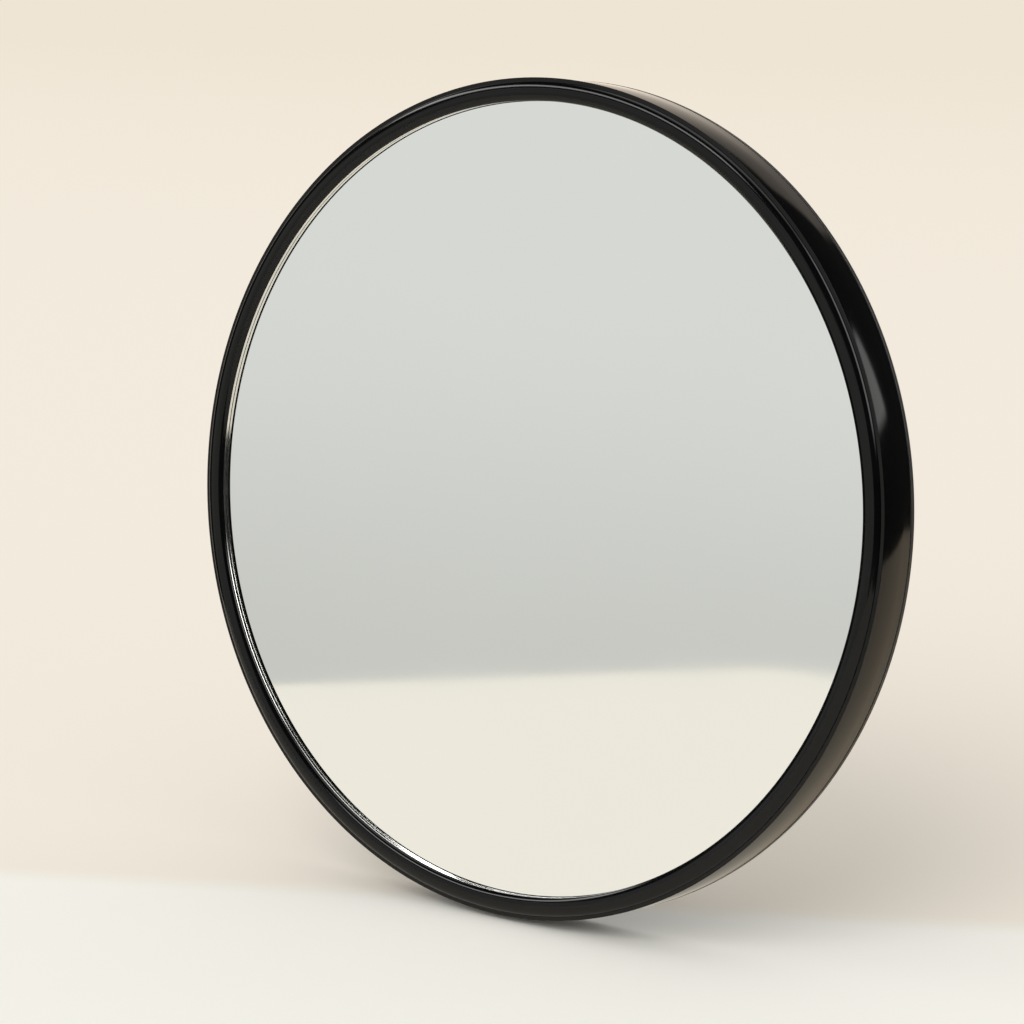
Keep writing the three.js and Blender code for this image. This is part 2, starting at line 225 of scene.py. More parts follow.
def arc(centre, radius, start, end, steps, squash=1):
    """Points on an arc, angles in degrees; squash flattens it along the second coordinate."""
    points = []
    for k in range(steps + 1):
        angle = math.radians(start + (end - start) * k / steps)
        across = centre[0] + radius * math.cos(angle)
        along = centre[1] + squash * radius * math.sin(angle)
        points.append((across, along))
    return points


def inset(outline, distance):
    """The outline moved inwards, along the mean of the normals on both sides of each point."""
    points = [Vector(p) for p in outline]
    area = sum(a.x * b.y - a.y * b.x for a, b in zip(points, points[1:] + points[:1]))
    side = 1 if area > 0 else -1
    moved = []
    for before, here, after in zip(points[-1:] + points[:-1], points, points[1:] + points[:1]):
        one = (here - before).normalized()
        two = (after - here).normalized()
        normal_one = Vector((-one.y, one.x)) * side
        normal_two = Vector((-two.y, two.x)) * side
        mean = (normal_one + normal_two).normalized()
        moved.append(here + mean * (distance / max(0.5, mean.dot(normal_one))))
    return moved


# ---- Meshes ------------------------------------------------------------------------------------


def new_object(name, bm):
    """An object in millimetres from a bmesh, with its normals turned outwards."""
    bmesh.ops.remove_doubles(bm, verts=bm.verts, dist=1e-5)
    bmesh.ops.recalc_face_normals(bm, faces=bm.faces)
    mesh = bpy.data.meshes.new(name)
    bm.to_mesh(mesh)
    bm.free()
    obj = bpy.data.objects.new(name, mesh)
    bpy.context.scene.collection.objects.link(obj)
    return obj


def turned(name, outline, steps=RING_STEPS):
    """A closed outline of (radius, y) turned about the Y axis."""
    bm = bmesh.new()
    rings = []
    for radius, y in outline:
        if radius < 1e-6:
            rings.append([bm.verts.new((0, y, 0))])
            continue
        ring = []
        for k in range(steps):
            angle = 2 * math.pi * (k + 0.5) / steps
            ring.append(bm.verts.new((radius * math.sin(angle), y, radius * math.cos(angle))))
        rings.append(ring)
    for one, two in zip(rings, rings[1:] + rings[:1]):
        if len(one) == 1 and len(two) == 1:
            continue
        for k in range(steps):
            after = (k + 1) % steps
            if len(one) == 1:
                bm.faces.new((one[0], two[k], two[after]))
            elif len(two) == 1:
                bm.faces.new((one[k], two[0], one[after]))
            else:
                bm.faces.new((one[k], two[k], two[after], one[after]))
    return new_object(name, bm)


def prism(name, outline, low, high, axis, edge=0, edge_steps=4):
    """An outline drawn out along X (outline in y, z) or Y (outline in x, z), edges rounded."""
    layers = []
    for k in range(edge_steps + 1 if edge else 1):
        angle = math.pi / 2 * k / edge_steps
        layers.append((edge * (1 - math.sin(angle)), edge * (1 - math.cos(angle))))
    stations = [(shrink, low + rise) for shrink, rise in layers]
    stations += [(shrink, high - rise) for shrink, rise in reversed(layers)]
    bm = bmesh.new()
    rings = []
    for shrink, station in stations:
        points = inset(outline, shrink) if shrink else [Vector(p) for p in outline]
        if axis == "X":
            rings.append([bm.verts.new((station, p.x, p.y)) for p in points])
        else:
            rings.append([bm.verts.new((p.x, station, p.y)) for p in points])
    count = len(outline)
    for one, two in zip(rings, rings[1:]):
        for k in range(count):
            after = (k + 1) % count
            bm.faces.new((one[k], two[k], two[after], one[after]))
    bm.faces.new(rings[0])
    bm.faces.new(rings[-1])
    return new_object(name, bm)


def moved(obj, x=0, y=0, z=0):
    obj.data.transform(Matrix.Translation((x, y, z)))
    return obj


def along_x(obj):
    """Turns a piece drawn about Y so that it lies along X."""
    obj.data.transform(Matrix.Rotation(math.radians(-90), 4, "Z"))
    return obj


def apply_modifiers(obj):
    graph = bpy.context.evaluated_depsgraph_get()
    result = bpy.data.meshes.new_from_object(obj.evaluated_get(graph))
    obj.modifiers.clear()
    obj.data = result


def combined(obj, others, operation):
    """Joins the others to obj or cuts them from it, and removes them."""
    bm = bmesh.new()
    for other in others:
        bm.from_mesh(other.data)
    tool = new_object("tool", bm)
    modifier = obj.modifiers.new("boolean", "BOOLEAN")
    modifier.operation = operation
    modifier.solver = "EXACT"
    modifier.object = tool
    apply_modifiers(obj)
    for other in [*others, tool]:
        bpy.data.objects.remove(other)
    return obj


def cut(obj, *tools):
    return combined(obj, tools, "DIFFERENCE")


def joined(obj, *others):
    return combined(obj, others, "UNION")


def weigh_normals(obj):
    """Lets the large faces set the normals, so that flat faces shade and reflect as flat."""
    modifier = obj.modifiers.new("weighted", "WEIGHTED_NORMAL")
    modifier.mode = "FACE_AREA"
    modifier.weight = 100
    modifier.keep_sharp = True
    apply_modifiers(obj)
    obj.data.name = obj.name


def place(obj, node, matrix, body, material):
    """Puts a finished piece into its frame, in metres, in place of its CAD node."""
    obj.name = node + "_fine"
    obj.data.name = obj.name
    obj.data.transform(Matrix.Scale(MM, 4))
    obj.data.shade_smooth()
    obj.data.set_sharp_from_angle(angle=SHARP_ANGLE)
    weigh_normals(obj)
    obj.data.materials.clear()
    obj.data.materials.append(material)
    obj.matrix_world = matrix
    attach(obj, body)
    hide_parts(node)
    return obj


# ---- Materials ---------------------------------------------------------------------------------


class Surface:
    """A node material with one principled shader, and short calls for what drives it."""

    def __init__(self, name, metallic=0.0, ior=1.5):
        self.material = bpy.data.materials.new(name)
        self.material.use_nodes = True
        self.nodes = self.material.node_tree.nodes
        self.links = self.material.node_tree.links
        self.shader = self.nodes["Principled BSDF"]
        self.shader.inputs["Metallic"].default_value = metallic
        self.shader.inputs["IOR"].default_value = ior
        self.place = self.nodes.new("ShaderNodeTexCoord").outputs["Object"]

    def stretched(self, scale):
        mapping = self.nodes.new("ShaderNodeMapping")
        mapping.inputs["Scale"].default_value = scale
        self.links.new(self.place, mapping.inputs["Vector"])
        return mapping.outputs["Vector"]

    def noise(self, scale, detail=3.0, roughness=0.5, vector=None):
        texture = self.nodes.new("ShaderNodeTexNoise")
        texture.inputs["Scale"].default_value = scale
        texture.inputs["Detail"].default_value = detail
        texture.inputs["Roughness"].default_value = roughness
        self.links.new(vector or self.place, texture.inputs["Vector"])
        return texture.outputs["Fac"]

    def cells(self, scale):
        texture = self.nodes.new("ShaderNodeTexVoronoi")
        texture.inputs["Scale"].default_value = scale
        self.links.new(self.place, texture.inputs["Vector"])
        return texture.outputs["Distance"]

    def ranged(self, value, low, high, start=0.3, end=0.7):
        node = self.nodes.new("ShaderNodeMapRange")
        node.inputs["From Min"].default_value = start
        node.inputs["From Max"].default_value = end
        node.inputs["To Min"].default_value = low
        node.inputs["To Max"].default_value = high
        self.links.new(value, node.inputs["Value"])
        return node.outputs["Result"]

    def colour(self, value, dark, light, start=0.35, end=0.65):
        ramp = self.nodes.new("ShaderNodeValToRGB")
        ramp.color_ramp.elements[0].position = start
        ramp.color_ramp.elements[0].color = (*dark, 1)
        ramp.color_ramp.elements[1].position = end
        ramp.color_ramp.elements[1].color = (*light, 1)
        self.links.new(value, ramp.inputs["Fac"])
        self.links.new(ramp.outputs["Color"], self.shader.inputs["Base Color"])

    def roughness(self, value, low, high):
        self.links.new(self.ranged(value, low, high), self.shader.inputs["Roughness"])

    def bump(self, value, height_mm, strength=1.0):
        node = self.nodes.new("ShaderNodeBump")
        node.inputs["Strength"].default_value = strength
        node.inputs["Distance"].default_value = height_mm * MM
        self.links.new(value, node.inputs["Height"])
        self.links.new(node.outputs["Normal"], self.shader.inputs["Normal"])


def gloss_black(name, ior):
    surface = Surface(name, ior=ior)
    surface.colour(surface.noise(40, 4), (0.0014, 0.0014, 0.0015), (0.0024, 0.0024, 0.0025))
    surface.roughness(surface.noise(90, 5, 0.6), 0.07, 0.13)
    surface.bump(surface.noise(260, 2), 0.004)
    return surface.material


def satin_black(name, low, high):
    surface = Surface(name)
    surface.colour(surface.noise(60, 5), (0.009, 0.009, 0.0095), (0.015, 0.015, 0.0155))
    surface.roughness(surface.noise(140, 4), low, high)
    surface.bump(surface.noise(2600, 3, 0.6), 0.035)
    return surface.material


def polished_trim():
    surface = Surface("polished_trim_sheet", metallic=1.0)
    surface.colour(surface.noise(120, 3), (0.76, 0.75, 0.72), (0.84, 0.83, 0.80))
    surface.roughness(surface.noise(500, 4, vector=surface.stretched((1, 8, 1))), 0.07, 0.16)
    surface.bump(surface.noise(900, 2), 0.002)
    return surface.material


def mirror_face():
    surface = Surface("silvered_glass", metallic=1.0)
    surface.colour(surface.noise(9, 3), (0.904, 0.909, 0.904), (0.914, 0.919, 0.914))
    surface.roughness(surface.noise(14, 5, 0.6), 0.035, 0.055)
    surface.bump(surface.noise(22, 2), 0.0015)
    return surface.material


def mirror_paint():
    surface = Surface("grey_backing_paint")
    surface.colour(surface.noise(300, 5), (0.14, 0.15, 0.16), (0.19, 0.20, 0.21))
    surface.roughness(surface.noise(200, 3), 0.5, 0.7)
    surface.bump(surface.noise(1200, 3), 0.02)
    return surface.material


def foam_black():
    surface = Surface("closed_cell_foam")
    surface.colour(surface.cells(900), (0.02, 0.02, 0.021), (0.055, 0.055, 0.058), 0.1, 0.6)
    surface.roughness(surface.noise(700, 3), 0.85, 1.0)
    surface.bump(surface.cells(1100), 0.2)
    return surface.material


def rubber_black():
    surface = Surface("matt_black_rubber")
    surface.colour(surface.noise(180, 6, 0.65), (0.012, 0.012, 0.012), (0.026, 0.025, 0.024))
    surface.roughness(surface.noise(400, 4), 0.7, 0.9)
    surface.bump(surface.noise(3200, 3, 0.65), 0.03)
    return surface.material


def zinc_steel():
    surface = Surface("bright_zinc_plate", metallic=1.0)
    surface.colour(surface.noise(70, 5, 0.6), (0.44, 0.45, 0.47), (0.60, 0.60, 0.58))
    surface.roughness(surface.noise(420, 5, vector=surface.stretched((1, 1, 12))), 0.24, 0.42)
    surface.bump(surface.noise(1500, 3, vector=surface.stretched((1, 1, 6))), 0.006)
    return surface.material


def black_oxide():
    surface = Surface("black_oxide_steel", metallic=1.0)
    surface.colour(surface.noise(800, 5), (0.02, 0.02, 0.022), (0.06, 0.058, 0.055))
    surface.roughness(surface.noise(900, 4), 0.34, 0.5)
    surface.bump(surface.noise(2400, 2), 0.006)
    return surface.material


BEZEL_BLACK = gloss_black("bezel_gloss_black", 1.33)
SHELL_BLACK = gloss_black("shell_gloss_black", 1.4)
SATIN_BLACK = satin_black("satin_black_moulding", 0.42, 0.56)
STRUT_BLACK = satin_black("strut_black_moulding", 0.38, 0.52)
POLISHED_TRIM = polished_trim()
MIRROR_FACE = mirror_face()
MIRROR_PAINT = mirror_paint()
FOAM_BLACK = foam_black()
RUBBER_BLACK = rubber_black()
ZINC_STEEL = zinc_steel()
BLACK_OXIDE = black_oxide()

# ---- Ring and glass ----------------------------------------------------------------------------


def bezel_ring():
    """A rounded bead with a tight outer edge, over a skirt that goes inside the shell."""
    crown = (APERTURE_RADIUS + FRONT_RADIUS) / 2
    half = (FRONT_RADIUS - APERTURE_RADIUS) / 2
    bead = arc((crown, BEAD_RISE), half, 0, -180, 40, BEAD_RISE / half)
    back = filleted([
        (APERTURE_RADIUS, LIP_BACK, 0.12),
        (SKIRT_INNER, LIP_BACK),
        (SKIRT_INNER, SKIRT_BACK, 0.15),
        (SKIRT_OUTER, SKIRT_BACK, 0.15),
        (SKIRT_OUTER, SEAM_FRONT),
        (FRONT_RADIUS, SEAM_FRONT, 0.1),
        (FRONT_RADIUS, BEAD_RISE),
    ])
    ring = turned("bezel", [*bead[1:-1], (APERTURE_RADIUS, BEAD_RISE), *back])
    return place(ring, "bezel_ring", HEAD, "head", BEZEL_BLACK)


def rim_shell():
    """The side wall, crowned a little towards the bead, with the ledge for the cover."""
    crown = []
    for k in range(CROWN_STEPS + 1):
        along = k / CROWN_STEPS
        fall = (RING_RADIUS - FRONT_RADIUS) * along * along
        crown.append((RING_RADIUS - fall, SEAM_BACK + CROWN_LENGTH * (1 - along)))
    shell = turned("shell", [*crown, *filleted([
        (SHELL_INNER, SEAM_BACK),
        (SHELL_INNER, LEDGE_FRONT),
        (LEDGE_INNER, LEDGE_FRONT, 0.2),
        (LEDGE_INNER, SHELL_BACK, 0.2),
        (RING_RADIUS, SHELL_BACK, 0.25),
    ])])
    bore = cylinder_outline(SCREW_HOLE, LEDGE_FRONT - OVERSHOOT, SHELL_BACK + OVERSHOOT)
    holes = [moved(turned("hole", bore, SCREW_STEPS), x, 0, z) for x, z in cover_screw_spots()]
    front, back = PAD_FRONT - PAD_GAP, PAD_BACK + PAD_GAP
    below = -RING_RADIUS - 3 * OVERSHOOT
    side = filleted([
        (front, PAD_POCKET_FLOOR, 0.3),
        (back, PAD_POCKET_FLOOR, 0.3),
        (back, below),
        (front, below),
    ])
    half = PAD_HALF_LENGTH + PAD_GAP
    pocket = prism("pocket", side, -half, half, "X")
    cut(shell, *holes, pocket)
    return place(shell, "rim_shell", HEAD, "head", SHELL_BLACK)


def cylinder_outline(radius, low, high):
    return [(0, low), (radius, low), (radius, high), (0, high)]


def trim_ring():
    outline = filleted([
        (TRIM_INNER, TRIM_FRONT, 0.2),
        (TRIM_INNER, TRIM_BACK, 0.1),
        (TRIM_INNER + TRIM_SHEET, TRIM_BACK, 0.1),
        (TRIM_INNER + TRIM_SHEET, TRIM_FRONT + TRIM_SHEET),
        (TRIM_FLANGE, TRIM_FRONT + TRIM_SHEET, 0.1),
        (TRIM_FLANGE, TRIM_FRONT, 0.1),
    ])
    ring = turned("trim", outline)
    return place(ring, "trim_ring", HEAD, "head", POLISHED_TRIM)


def glass_gasket():
    inner, outer, front, back = GASKET
    corners = [(inner, front, 0.12), (inner, back, 0.12), (outer, back, 0.12), (outer, front, 0.12)]
    ring = turned("gasket", filleted(corners))
    return place(ring, "glass_gasket", HEAD, "head", RUBBER_BLACK)


def round_sheet(radius, front, back, edge):
    corners = [(0, front), (radius, front, edge), (radius, back, edge), (0, back)]
    return turned("sheet", filleted(corners))


def mirror_glass():
    sheet = round_sheet(*GLASS, 0.35)
    return place(sheet, "mirror_glass", HEAD, "head", MIRROR_FACE)


def mirror_backing():
    sheet = round_sheet(*BACKING, 0.15)
    return place(sheet, "mirror_backing", HEAD, "head", MIRROR_PAINT)


def foam_pad():
    sheet = round_sheet(*FOAM, 0.8)
    return place(sheet, "foam_pad", HEAD, "head", FOAM_BLACK)


def rim_foot_pad():
    def table_at(y):
        return (y * math.sin(LEAN) - CENTRE_HEIGHT) / math.cos(LEAN)

    side = filleted([
        (PAD_FRONT, PAD_TOP),
        (PAD_BACK, PAD_TOP),
        (PAD_BACK, table_at(PAD_BACK), 0.35),
        (PAD_FRONT, table_at(PAD_FRONT), 0.35),
    ])
    pad = prism("pad", side, -PAD_HALF_LENGTH, PAD_HALF_LENGTH, "X", 0.3)
    return place(pad, "rim_foot_pad", HEAD, "head", RUBBER_BLACK)


# ---- Cover and screws --------------------------------------------------------------------------


def cover_screw_spots():
    spots = []
    for i in range(COVER_SCREWS):
        angle = 2 * math.pi * (i + 0.5) / COVER_SCREWS
        spots.append((COVER_SCREW_RADIUS * math.sin(angle), COVER_SCREW_RADIUS * math.cos(angle)))
    return spots


def hinge_screw_spots():
    spots = []
    for side in (-1, 1):
        for end in (1, -1):
            spots.append((side * HINGE_SCREW_X, HINGE_RISE + end * HINGE_SCREW_RISE))
    return spots


def hole(radius, low, high, flare=0.25):
    """A cutter along Y that leaves a small chamfer where it comes out at the high end."""
    outline = [
        (0, low - OVERSHOOT),
        (radius, low - OVERSHOOT),
        (radius, high - flare),
        (radius + flare + OVERSHOOT, high + OVERSHOOT),
        (0, high + OVERSHOOT),
    ]
    return turned("hole", outline, SCREW_STEPS)


def back_cover():
    outline = filleted([
        (0, COVER_BACK),
        (COVER_RECESS_RADIUS, COVER_BACK, 0.8),
        (COVER_RECESS_RADIUS, RING_DEPTH, 0.5),
        (RING_RADIUS, RING_DEPTH, 0.6),
        (RING_RADIUS, FLANGE_FRONT, 0.2),
        (COVER_PLATE_RADIUS, FLANGE_FRONT),
        (COVER_PLATE_RADIUS, COVER_FRONT, 0.2),
        (0, COVER_FRONT),
    ], 6)
    cover = turned("cover", outline)
    head, height, length = FLAT_HEAD
    mouth = head + SCREW_HOLE - SCREW_SHANK
    seat = [
        (0, OVERSHOOT),
        (mouth + 0.3, OVERSHOOT),
        (mouth + 0.3, 0.12),
        (mouth, -0.18),
        (SCREW_HOLE, -height),
        (SCREW_HOLE, -length - OVERSHOOT),
        (0, -length - OVERSHOOT),
    ]
    tools = []
    for x, z in cover_screw_spots():
        tools.append(moved(turned("seat", seat, SCREW_STEPS), x, COVER_SCREW_TOP, z))
    for x, z in hinge_screw_spots():
        tools.append(moved(hole(SCREW_HOLE, COVER_FRONT, COVER_BACK), x, 0, z))
    cut(cover, *tools)
    return place(cover, "back_cover", HEAD, "head", SATIN_BLACK)


def cross_recess(top):
    """A tapered cross, wider at the top of the screw than at the bottom of the recess."""
    half, thin = RECESS_LENGTH / 2, RECESS_WIDTH / 2
    pieces = []
    for long_x, long_z in ((half, thin), (thin, half)):
        bm = bmesh.new()
        corners = []
        for y, grow in ((top + 0.6, 0.05), (top - RECESS_DEPTH, -RECESS_TAPER)):
            for sx, sz in ((-1, -1), (1, -1), (1, 1), (-1, 1)):
                x = sx * (long_x + (grow if long_x == half else grow * 0.3))
                z = sz * (long_z + (grow if long_z == half else grow * 0.3))
                corners.append(bm.verts.new((x, y, z)))
        bm.faces.new(corners[:4])
        bm.faces.new(corners[4:])
        for k in range(4):
            after = (k + 1) % 4
            bm.faces.new((corners[k], corners[after], corners[after + 4], corners[k + 4]))
        pieces.append(new_object("recess", bm))
    return joined(*pieces)


def threaded(top, length):
    """The outline of a shank with thread-like rings, from under the head to its tip."""
    outline = []
    y = top
    while y - THREAD_PITCH > TIP_LENGTH - length:
        outline += [(SCREW_SHANK, y - 0.1), (SCREW_SHANK - THREAD_DEPTH, y - THREAD_PITCH / 2)]
        y -= THREAD_PITCH
    outline += [(SCREW_SHANK, y - 0.1), (SCREW_SHANK - TIP_TAPER, -length), (0, -length)]
    return outline


def flat_screw():
    radius, height, length = FLAT_HEAD
    outline = [(0, 0), (radius - 0.12, 0), (radius, -0.12), (SCREW_SHANK, -height)]
    screw = turned("screw", [*outline, *threaded(-height, length)], SCREW_STEPS)
    return cut(screw, cross_recess(0))


def pan_screw():
    radius, height, length = PAN_HEAD
    dome = [(max(0, a), b) for a, b in arc((0, 0.2), radius, 90, 0, 8, (height - 0.2) / radius)]
    outline = [*dome, (radius - 0.1, 0), (SCREW_SHANK, 0)]
    screw = turned("screw", [*outline, *threaded(-0.2, length)], SCREW_STEPS)
    return cut(screw, cross_recess(height))


def cover_screws():
    for i, (x, z) in enumerate(cover_screw_spots()):
        screw = turned_by(flat_screw(), COVER_SCREW_TURN * i)
        moved(screw, x, COVER_SCREW_TOP, z)
        place(screw, f"cover_screw_{i + 1}", HEAD, "head", BLACK_OXIDE)


def hinge_screws():
    for i, (x, z) in enumerate(hinge_screw_spots()):
        screw = turned_by(pan_screw(), HINGE_SCREW_START + HINGE_SCREW_TURN * i)
        moved(screw, x, HINGE_SCREW_SEAT, z)
        place(screw, f"hinge_screw_{i + 1}", HEAD, "head", ZINC_STEEL)


def turned_by(obj, degrees):
    """A piece turned about its own Y axis, as a driven screw ends up."""
    obj.data.transform(Matrix.Rotation(math.radians(degrees), 4, "Y"))
    return obj


# ---- Hinge -------------------------------------------------------------------------------------


def cross_bore(radius, half):
    """A cutter along X for a bore that runs from -half to half."""
    outline = cylinder_outline(radius, -half - OVERSHOOT, half + OVERSHOOT)
    return along_x(turned("bore", outline, ROUND_STEPS))


def hinge_plate():
    wide, high, corner = PLATE_HALF_WIDTH, PLATE_HALF_HEIGHT, PLATE_CORNER
    outline = filleted([
        (-wide, -high, corner),
        (wide, -high, corner),
        (wide, high, corner),
        (-wide, high, corner),
    ], 10)
    plate = prism("plate", outline, PLATE_FRONT, PLATE_BACK, "Y", 0.25)
    middle = (PLATE_FRONT + PLATE_BACK) / 2
    ear_end = arc((0, 0), EAR_ROUND, -EAR_SWEEP, EAR_SWEEP, 28)
    ear_side = [(middle, -EAR_FOOT), *ear_end, (middle, EAR_FOOT)]
    ears = [
        prism("ear", ear_side, EAR_INNER, EAR_OUTER, "X", 0.22),
        prism("ear", ear_side, -EAR_OUTER, -EAR_INNER, "X", 0.22),
    ]
    joined(plate, *ears)
    tools = [cross_bore(PIN_BORE, EAR_OUTER)]
    for x, z in hinge_screw_spots():
        tools.append(moved(hole(SCREW_HOLE, PLATE_FRONT, PLATE_BACK, 0.15), x, 0, z - HINGE_RISE))
    cut(plate, *tools)
    return place(plate, "hinge_plate", HINGE, "head", ZINC_STEEL)


def rod_along_x(corners, steps=ROUND_STEPS):
    """A turned piece along X from corners (x, radius, rounding)."""
    outline = filleted([(radius, x, rounding) for x, radius, rounding in corners])
    return along_x(turned("rod", outline, steps))


def hinge_pin():
    groove_start, groove_end = CLIP[1] - 0.1, CLIP[2] + 0.1
    pin = rod_along_x([
        (PIN_HEAD_END, 0, 0),
        (PIN_HEAD_END, PIN_HEAD_RADIUS, 0.35),
        (PIN_UNDER_HEAD, PIN_HEAD_RADIUS, 0.15),
        (PIN_UNDER_HEAD, PIN_RADIUS, 0),
        (groove_start, PIN_RADIUS, 0.05),
        (groove_start, PIN_RADIUS - 0.3, 0.05),
        (groove_end, PIN_RADIUS - 0.3, 0.05),
        (groove_end, PIN_RADIUS, 0.05),
        (PIN_TAIL_END, PIN_RADIUS, 0.4),
        (PIN_TAIL_END, 0, 0),
    ])
    return place(pin, "hinge_pin", HINGE, "head", ZINC_STEEL)


def washers():
    radius, start, end = WASHER
    for side, node in ((-1, "hinge_washer_left"), (1, "hinge_washer_right")):
        ring = rod_along_x([
            (side * start, PIN_BORE, 0.08),
            (side * start, radius, 0.12),
            (side * end, radius, 0.2),
            (side * end, PIN_BORE, 0.08),
        ])
        place(ring, node, HINGE, "head", ZINC_STEEL)


def pin_clip():
    """A flat spring clip: an open ring over the pin's groove, open towards the bottom."""
    radius, start, end = CLIP
    mouth = math.degrees(math.asin(CLIP_MOUTH / 2 / PIN_BORE))
    outer = math.degrees(math.asin(CLIP_MOUTH / 2 / radius))
    outline = arc((0, 0), radius, -90 + outer, 270 - outer, 48)
    outline += arc((0, 0), PIN_BORE, 270 - mouth, -90 + mouth, 40)
    clip = prism("clip", outline, start, end, "X", 0.1, 2)
    return place(clip, "pin_clip", HINGE, "head", ZINC_STEEL)


# ---- Strut -------------------------------------------------------------------------------------


def strut_half_width(z):
    along = min(1, max(0, (-z - STRUT_STRAIGHT) / (STRUT_LENGTH - STRUT_STRAIGHT)))
    return STRUT_TOP_HALF_WIDTH + (STRUT_FOOT_HALF_WIDTH - STRUT_TOP_HALF_WIDTH) * along


def strut_pockets():
    last = -(STRUT_TO_TABLE - CAP_HEIGHT - POCKET_RIB)
    pitch = (POCKET_TOP - last + POCKET_RIB) / POCKET_COUNT
    tools = []
    for i in range(POCKET_COUNT):
        top = POCKET_TOP - i * pitch
        bottom = top - pitch + POCKET_RIB
        high = strut_half_width(top) - POCKET_RIB
        low = strut_half_width(bottom) - POCKET_RIB
        outline = filleted([(-low, bottom, 2), (low, bottom, 2), (high, top, 2), (-high, top, 2)], 8)
        floor = STRUT_HALF_THICKNESS - POCKET_DEPTH
        tools.append(prism("pocket", outline, floor, floor + 6, "Y", 0.7))
    return tools


def stand_strut():
    top, foot = STRUT_TOP_HALF_WIDTH, STRUT_FOOT_HALF_WIDTH
    outline = filleted([
        (-foot, -STRUT_LENGTH, 1),
        (foot, -STRUT_LENGTH, 1),
        (top, -STRUT_STRAIGHT, 60),
        (top, STRUT_HEEL, 2),
        (-top, STRUT_HEEL, 2),
        (-top, -STRUT_STRAIGHT, 60),
    ], 10)
    blade = prism("blade", outline, -STRUT_HALF_THICKNESS, STRUT_HALF_THICKNESS, "Y", 0.45)
    barrel = rod_along_x([
        (-BARREL_HALF, 0, 0),
        (-BARREL_HALF, BARREL_RADIUS, 0.3),
        (BARREL_HALF, BARREL_RADIUS, 0.3),
        (BARREL_HALF, 0, 0),
    ])
    joined(blade, barrel)
    cut(blade, cross_bore(STRUT_BORE, BARREL_HALF), *strut_pockets())
    return place(blade, "stand_strut", STRUT, "strut", STRUT_BLACK)


def strut_foot_cap():
    half = CAP_HALF_THICKNESS
    top = CAP_HEIGHT - STRUT_TO_TABLE

    def sole_at(y):
        return -STRUT_TO_TABLE - y * math.tan(STRUT_SLOPE)

    side = filleted([
        (half, top, 0.8),
        (-half, top, 0.8),
        (-half, sole_at(-half), 0.9),
        (half, sole_at(half), 0.9),
    ], 7)
    cap = prism("cap", side, -CAP_HALF_WIDTH, CAP_HALF_WIDTH, "X", 1.1, 6)
    bottom = -STRUT_LENGTH - CAP_GAP
    upper, lower = strut_half_width(top) + CAP_GAP, strut_half_width(bottom) + CAP_GAP
    mouth = top + OVERSHOOT
    socket_outline = [(-lower, bottom), (lower, bottom), (upper, mouth), (-upper, mouth)]
    socket_half = STRUT_HALF_THICKNESS + CAP_GAP
    socket = prism("socket", socket_outline, -socket_half, socket_half, "Y")
    cut(cap, socket)
    return place(cap, "strut_foot_cap", STRUT, "strut", RUBBER_BLACK)


# ---- Studio ------------------------------------------------------------------------------------

CAMERA_AZIMUTH = math.radians(37.208)
CAMERA_ELEVATION = math.radians(9.867)
CAMERA_DISTANCE = 1010
CAMERA_RIGHT = 1.76
CAMERA_UP = 3.14
CAMERA_LENS = 119.72
CAMERA_SENSOR = 36


def seen_from(azimuth, elevation):
    """The direction to something in front of the object; azimuth turns to its right."""
    level = math.cos(elevation)
    return Vector((math.sin(azimuth) * level, -math.cos(azimuth) * level, math.sin(elevation)))


def set_camera():
    """Aims the camera past the middle of the ring's front plane at the viewing angle."""
    forward = -seen_from(CAMERA_AZIMUTH, CAMERA_ELEVATION)
    right = Vector((math.cos(CAMERA_AZIMUTH), math.sin(CAMERA_AZIMUTH), 0))
    up = right.cross(forward)
    data = bpy.data.cameras.new("camera")
    data.lens = CAMERA_LENS
    data.sensor_width = CAMERA_SENSOR
    camera = bpy.data.objects.new("camera", data)
    bpy.context.scene.collection.objects.link(camera)
    offset = right * CAMERA_RIGHT + up * CAMERA_UP + forward * CAMERA_DISTANCE
    camera.location = HEAD.translation - offset * MM
    camera.rotation_mode = "QUATERNION"
    camera.rotation_quaternion = forward.to_track_quat("-Z", "Y")
    bpy.context.scene.camera = camera


class Tree:
    """Short calls for making shader nodes."""

    def __init__(self, tree):
        self.nodes = tree.nodes
        self.links = tree.links

    def feed(self, socket, value):
        if isinstance(value, bpy.types.NodeSocket):
            self.links.new(value, socket)
        else:
            socket.default_value = value

    def math(self, operation, one, two=0.0):
        node = self.nodes.new("ShaderNodeMath")
        node.operation = operation
        self.feed(node.inputs[0], one)
        self.feed(node.inputs[1], two)
        return node.outputs[0]

    def smooth(self, value, start, end, low=0.0, high=1.0):
        node = self.nodes.new("ShaderNodeMapRange")
        node.interpolation_type = "SMOOTHSTEP"
        self.feed(node.inputs["Value"], value)
        node.inputs["From Min"].default_value = start
        node.inputs["From Max"].default_value = end
        node.inputs["To Min"].default_value = low
        node.inputs["To Max"].default_value = high
        return node.outputs["Result"]

    def between(self, value, low, high, soft):
        """1 from low to high and 0 outside them, with soft ends."""
        rise = self.smooth(value, low - soft, low + soft)
        fall = self.smooth(value, high - soft, high + soft, 1, 0)
        return self.math("MULTIPLY", rise, fall)

    def mix(self, factor, one, two):
        node = self.nodes.new("ShaderNodeMix")
        node.data_type = "RGBA"
        self.feed(node.inputs["Factor"], factor)
        for name, value in (("A", one), ("B", two)):
            socket = [s for s in node.inputs if s.name == name and s.type == "RGBA"][0]
            self.feed(socket, value)
        return [s for s in node.outputs if s.type == "RGBA"][0]


